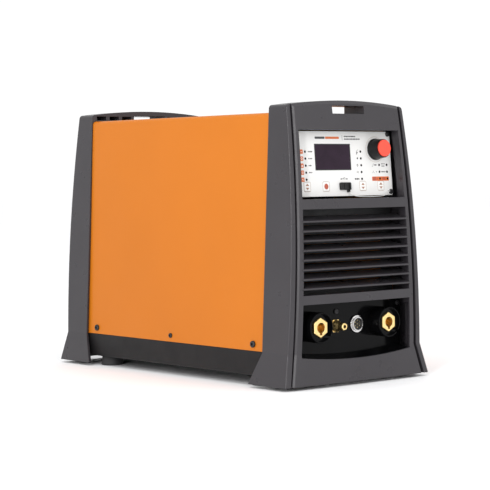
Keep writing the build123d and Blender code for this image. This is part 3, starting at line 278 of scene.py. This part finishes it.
def ring_faces(bm, a, b):
    """Quads between two closed loops with as many points."""
    count = len(a)
    for i in range(count):
        j = (i + 1) % count
        bm.faces.new((a[i], a[j], b[j], b[i]))


def slab(bm, place, outline, w0=PRINT_LOW, w1=PRINT_HIGH):
    """Flat shape with a thickness."""
    low = [bm.verts.new(place(u, v, w0)) for u, v in outline]
    high = [bm.verts.new(place(u, v, w1)) for u, v in outline]
    bm.faces.new(low[::-1])
    bm.faces.new(high)
    ring_faces(bm, low, high)


def band(bm, place, outer, inner, w0=PRINT_LOW, w1=PRINT_HIGH):
    """Closed ring between two outlines with as many points."""
    loops = []
    for outline, w in ((outer, w0), (outer, w1), (inner, w1), (inner, w0)):
        loops.append([bm.verts.new(place(u, v, w)) for u, v in outline])
    for k in range(4):
        ring_faces(bm, loops[k], loops[(k + 1) % 4])


def rounded(u, v, wide, high, r, steps=4):
    """Rectangle with rounded corners about its centre."""
    points = []
    corners = ((1, 1, 0), (-1, 1, 90), (-1, -1, 180), (1, -1, 270))
    for sx, sy, start in corners:
        cx = u + sx * (wide / 2 - r)
        cy = v + sy * (high / 2 - r)
        for k in range(steps + 1):
            angle = math.radians(start + 90 * k / steps)
            points.append((cx + r * math.cos(angle), cy + r * math.sin(angle)))
    return points


def circle(u, v, r, count=32, squash=1.0):
    """Circle, or an upright oval where squash is under 1."""
    turns = [2 * math.pi * k / count for k in range(count)]
    return [(u + r * squash * math.cos(t), v + r * math.sin(t)) for t in turns]


def stroke(points, wide):
    """Outline of an open line of constant width."""
    left, right = [], []
    for i, (u, v) in enumerate(points):
        a = Vector(points[max(i - 1, 0)])
        b = Vector(points[min(i + 1, len(points) - 1)])
        along = (b - a).normalized()
        side = Vector((-along.y, along.x)) * wide / 2
        left.append((u + side.x, v + side.y))
        right.append((u - side.x, v - side.y))
    return left + right[::-1]


# ---- control panel's frame ------------------------------------------------------
def panel_frame():
    """Place on the tilted panel, from the overlay's box and the cap's sliding axis."""
    joint = next(j for j in frame["joints"] if j["name"] == "usb_cap_pull")
    out = Vector(joint["axis"]).normalized()
    up = Vector((0, -out.z, out.y)) * -1
    low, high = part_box("control_overlay")
    origin = (low + high) / 2 + out * (OVERLAY / 2 * MM)

    def place(u, v, w):
        return origin + (Vector((1, 0, 0)) * u + up * v + out * w) * MM

    return place


on_panel = panel_frame()


# ---- cord -----------------------------------------------------------------------
def make_tether():
    """Cap's retaining line: a mesh tube along the route's smooth line."""
    curve = bpy.data.curves.new("tether_line", "CURVE")
    curve.dimensions = "3D"
    curve.resolution_u = 12
    spline = curve.splines.new("NURBS")
    spline.points.add(len(CORD_ROUTE) - 1)
    for point, (x, y, z) in zip(spline.points, CORD_ROUTE):
        point.co = (x * MM, y * MM, z * MM + DATUM_Z, 1)
    spline.order_u = 3
    spline.use_endpoint_u = True
    line = bpy.data.objects.new("tether_line", curve)
    bpy.context.scene.collection.objects.link(line)
    bpy.context.view_layer.update()
    centre = bpy.data.meshes.new_from_object(line)
    curve.bevel_depth = CORD_D / 2
    curve.bevel_resolution = 4
    curve.use_fill_caps = True
    bpy.context.view_layer.update()
    mesh = bpy.data.meshes.new_from_object(line.evaluated_get(bpy.context.evaluated_depsgraph_get()))
    bpy.data.objects.remove(line)
    mesh.materials.clear()
    mesh.materials.append(finish("tether"))
    mesh.polygons.foreach_set("use_smooth", [True] * len(mesh.polygons))
    tether = bpy.data.objects.new("tether_cord", mesh)
    bpy.context.scene.collection.objects.link(tether)
    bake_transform(tether)
    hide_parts("usb_tether")


# ---- printed marks ----------------------------------------------------------------
def led_rows():
    """Heights of the led rows, from the top."""
    return [LED_TOP_V - LED_PITCH * k for k in range(5)]


def dashes(bm, u, v, widths, high=1.5, gap=0.55):
    """Row of plain bars that stands where a label would be."""
    for wide in widths:
        slab(bm, on_panel, rounded(u + wide / 2, v, wide, high, 0.3))
        u += wide + gap


def make_orange_print():
    """Icon squares, the strip under the right-hand leds and a plain bar at the top."""
    bm = bmesh.new()
    for v in led_rows():
        slab(bm, on_panel, rounded(LEFT_ICON_U, v, 5.2, 5.6, 0.9))
    slab(bm, on_panel, rounded(STRIP_U, STRIP_V, 30.5, 5.6, 0.8))
    slab(bm, on_panel, rounded(-17.0, BAR_V, 24.0, BAR_TALL, BAR_CORNER))
    return piece("overlay_print_orange", bm, "root", "ink_orange")


def make_red_print():
    """Darker marks on the orange strip."""
    bm = bmesh.new()
    wedge = [(58.6, STRIP_V - 1.5), (61.4, STRIP_V), (58.6, STRIP_V + 1.5)]
    slab(bm, on_panel, rounded(54.2, STRIP_V, 6.0, 4.6, 0.5), PRINT_HIGH, PRINT_TOP)
    slab(bm, on_panel, wedge, PRINT_HIGH, PRINT_TOP)
    slab(bm, on_panel, rounded(71.2, STRIP_V, 6.6, 3.0, 1.2), PRINT_HIGH, PRINT_TOP)
    return piece("overlay_print_red", bm, "root", "ink_red")


def make_dark_print():
    """Labels, pictograms and the plug symbol, in grey."""
    bm = bmesh.new()
    rows = led_rows()
    for v, widths in zip(rows, ((1.6, 1.3, 3.2), (1.2, 0.8, 1.4, 1.6), (1.4, 2.6), (2.0, 0.9, 1.2))):
        dashes(bm, LEFT_LABEL_U, v, widths)
    # Middle column: a bent line, a dot, an oval, a twin wave and a label.
    a = rows[0]
    hook = [(26.8, a + 2.6), (24.2, a - 0.6), (26.6, a - 0.8), (23.8, a - 4.0)]
    slab(bm, on_panel, stroke(hook, 0.55))
    slab(bm, on_panel, circle(MID_ICON_U + 0.6, rows[1] + 0.2, 1.2))
    oval = circle(MID_ICON_U, rows[2], 1.7, squash=0.7)
    band(bm, on_panel, oval, circle(MID_ICON_U, rows[2], 1.0, squash=0.5))
    for lift in (0.7, -0.7):
        wave = [(MID_ICON_U - 2 + 0.5 * k, rows[3] + lift + 0.35 * math.sin(k * 0.8)) for k in range(9)]
        slab(bm, on_panel, stroke(wave, 0.45))
    dashes(bm, 19.0, rows[4], (2.4, 2.6, 1.8), 2.0)
    # Right-hand pairs: slopes, pulses and short labels.
    top, lower = RIGHT_ROWS
    slab(bm, on_panel, stroke([(50.6, top - 1.6), (52.4, top - 1.6), (53.8, top + 1.8)], 0.5))
    slab(bm, on_panel, rounded(57.2, top, 4.4, 1.4, 0.5))
    slab(bm, on_panel, stroke([(51.4, lower - 1.7), (53.0, lower + 1.4), (54.4, lower - 1.7)], 0.5))
    slab(bm, on_panel, circle(58.8, lower, 0.7))
    for k in range(3):
        slab(bm, on_panel, rounded(68.6 + 2.4 * k, top + 1.4, 1.6, 1.3, 0.3))
    slab(bm, on_panel, rounded(71.0, top - 1.5, 5.6, 1.0, 0.4))
    dashes(bm, 67.6, lower, (2.6, 1.6, 2.2), 1.5)
    # Data symbol over the usb port: a stem with an arrow, a branch and a dot.
    v = DATA_SYMBOL_V
    slab(bm, on_panel, stroke([(-5.2, v), (4.4, v)], 0.6))
    slab(bm, on_panel, [(-7.0, v), (-4.6, v - 1.2), (-4.6, v + 1.2)])
    slab(bm, on_panel, circle(4.8, v, 1.0, 20))
    slab(bm, on_panel, stroke([(-2.6, v), (-0.4, v + 1.7), (1.6, v + 1.7)], 0.5))
    # A dark bar, an upright rule and two plain rows along the top.
    slab(bm, on_panel, rounded(-38.5, BAR_V, 17.0, BAR_TALL, BAR_CORNER))
    dashes(bm, 4.0, 35.0, (2.2, 3.4, 1.8, 2.6, 4.2, 2.8), 1.6)
    dashes(bm, 4.0, 31.6, (3.2, 4.6, 1.6, 3.6, 5.0, 3.4, 3.0), 1.6)
    slab(bm, on_panel, rounded(0.6, 33.3, 0.5, 6.6, 0.2))
    return piece("overlay_print_grey", bm, "root", "ink_grey")


def make_pale_rings():
    """Thin ring round the knob, and a darker grey-brown ring just outside the edge of each key."""
    bm = bmesh.new()
    inside, outside = (circle(KNOB_U, KNOB_V, r, 96) for r in RING_R)
    band(bm, on_panel, outside, inside)
    # Grey-brown ring just outside each key's edge, round the gap where the key meets the overlay.
    for u in KEY_U:
        outside = rounded(u, KEY_V, 11.9, 12.9, 1.9, 6)
        band(bm, on_panel, outside, rounded(u, KEY_V, 10.9, 11.9, 1.4, 6))
    return piece("overlay_pale_rings", bm, "root", "pale_ring_brown")


def make_icon_marks():
    """White figures on the orange squares: bar, ring, wedge, pair and wave."""
    bm = bmesh.new()
    low, high = PRINT_HIGH, PRINT_TOP
    u = LEFT_ICON_U
    a, b, c, d, e = led_rows()
    slab(bm, on_panel, rounded(u, a, 2.8, 0.6, 0.2), low, high)
    band(bm, on_panel, circle(u, b, 1.5, 24), circle(u, b, 1.0, 24), low, high)
    slab(bm, on_panel, [(u - 1.5, c - 1.2), (u + 1.5, c - 1.2), (u, c + 1.4)], low, high)
    for side in (-0.9, 0.9):
        slab(bm, on_panel, rounded(u + side, d, 0.6, 2.8, 0.2), low, high)
    wave = [(u - 1.6 + 0.4 * k, e + 0.8 * math.sin(k * 0.785)) for k in range(9)]
    slab(bm, on_panel, stroke(wave, 0.5), low, high)
    return piece("overlay_print_white", bm, "root", "ink_white")


def key_face():
    """How far a key's face stands out of the overlay, in mm."""
    out = (on_panel(0, 0, 1) - on_panel(0, 0, 0)).normalized()
    front = max(v.co.dot(out) for v in frame["nodes"]["key_round"].data.vertices)
    return (front - on_panel(0, 0, 0).dot(out)) / MM


def make_key_prints():
    """Two arrows on each of three keys, and a dot with a bar on the fourth."""
    face = key_face()
    w0, w1 = face + 0.01, face + 0.05
    arrows = {"key_left_arrows": KEY_U[0], "key_right_arrows_a": KEY_U[2], "key_right_arrows_b": KEY_U[3]}
    for body, u in arrows.items():
        bm = bmesh.new()
        for way in (1, -1):
            tip = KEY_V + way * 4.2
            base = KEY_V + way * 1.1
            slab(bm, on_panel, [(u - 3.1, base), (u + 3.1, base), (u, tip)], w0, w1)
        piece(f"{body}_print", bm, body, "ink_brown")
    bm = bmesh.new()
    slab(bm, on_panel, circle(KEY_U[1], KEY_V, 3.7, 40, 0.95), w0, w1)
    piece("key_round_print", bm, "key_round", "ink_red")
    bm = bmesh.new()
    slab(bm, on_panel, rounded(KEY_U[1] + 0.5, KEY_V, 0.7, 2.6, 0.3), w1, w1 + 0.03)
    piece("key_round_mark", bm, "key_round", "ink_orange")


def make_screen_mask():
    """Dark printed border inside the display window's edge."""
    low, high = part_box("screen_window")
    bm = bmesh.new()
    u = (low.x + high.x) / 2 / MM
    rise = (on_panel(0, 1, 0) - on_panel(0, 0, 0)).normalized()
    out = (on_panel(0, 0, 1) - on_panel(0, 0, 0)).normalized()
    points = [p.co - on_panel(0, 0, 0) for p in frame["nodes"]["screen_window"].data.vertices]
    vs = [p.dot(rise) / MM for p in points]
    face = max(p.dot(out) for p in points) / MM
    v = (min(vs) + max(vs)) / 2
    wide = (high.x - low.x) / MM
    tall = max(vs) - min(vs)
    outer = rounded(u, v, wide - SCREEN_MARGIN, tall - SCREEN_MARGIN, 0.6)
    inner = rounded(u, v, wide - 2 * SCREEN_BORDER_U, tall - 2 * SCREEN_BORDER_V, 0.4)
    band(bm, on_panel, outer, inner, face + 0.01, face + 0.04)
    piece("screen_border", bm, "root", "ink_black")


# ---- studio -------------------------------------------------------------------------
def area_light(name, at, aim, size, energy, color=(1, 1, 1)):
    data = bpy.data.lights.new(name, "AREA")
    data.shape = "RECTANGLE"
    data.size, data.size_y = size
    data.energy = energy
    data.color = color
    lamp = bpy.data.objects.new(name, data)
    bpy.context.scene.collection.objects.link(lamp)
    lamp.location = at
    lamp.rotation_euler = (Vector(aim) - Vector(at)).to_track_quat("-Z", "Y").to_euler()


def make_studio():
    mesh = bpy.data.meshes.new("floor")
    half = FLOOR_HALF
    corners = [(-half, -half, 0), (half, -half, 0), (half, half, 0), (-half, half, 0)]
    mesh.from_pydata(corners, [], [(0, 1, 2, 3)])
    floor = bpy.data.objects.new("floor", mesh)
    bpy.context.scene.collection.objects.link(floor)
    mesh.materials.append(surface("floor_white", (0.955, 0.955, 0.965), 0.7, drift=0.004, drift_size=0.5,
                                  relief=0.02, specular=0.2))
    world = bpy.data.worlds.new("studio")
    bpy.context.scene.world = world
    world.use_nodes = True
    glow = world.node_tree.nodes["Background"]
    glow.inputs["Color"].default_value = (1, 1, 1, 1)
    glow.inputs["Strength"].default_value = 1.05
    area_light("overhead", (-0.6, -0.6, 2.4), (0, 0, 0.2), (2.4, 2.4), 14)
    area_light("left_strip", (-2.2, -1.5, 0.9), (0, -0.1, 0.18), (0.25, 1.8), 34)
    area_light("front_box", (0.9, -2.6, 1.1), (0, -0.2, 0.18), (1.0, 1.4), 8)
    bpy.context.scene.view_settings.view_transform = "Standard"


# ---- scene --------------------------------------------------------------------------
make_camera()
make_tether()
dress_cad_nodes()
make_orange_print()
make_red_print()
make_dark_print()
make_pale_rings()
make_icon_marks()
make_key_prints()
make_screen_mask()
make_studio()
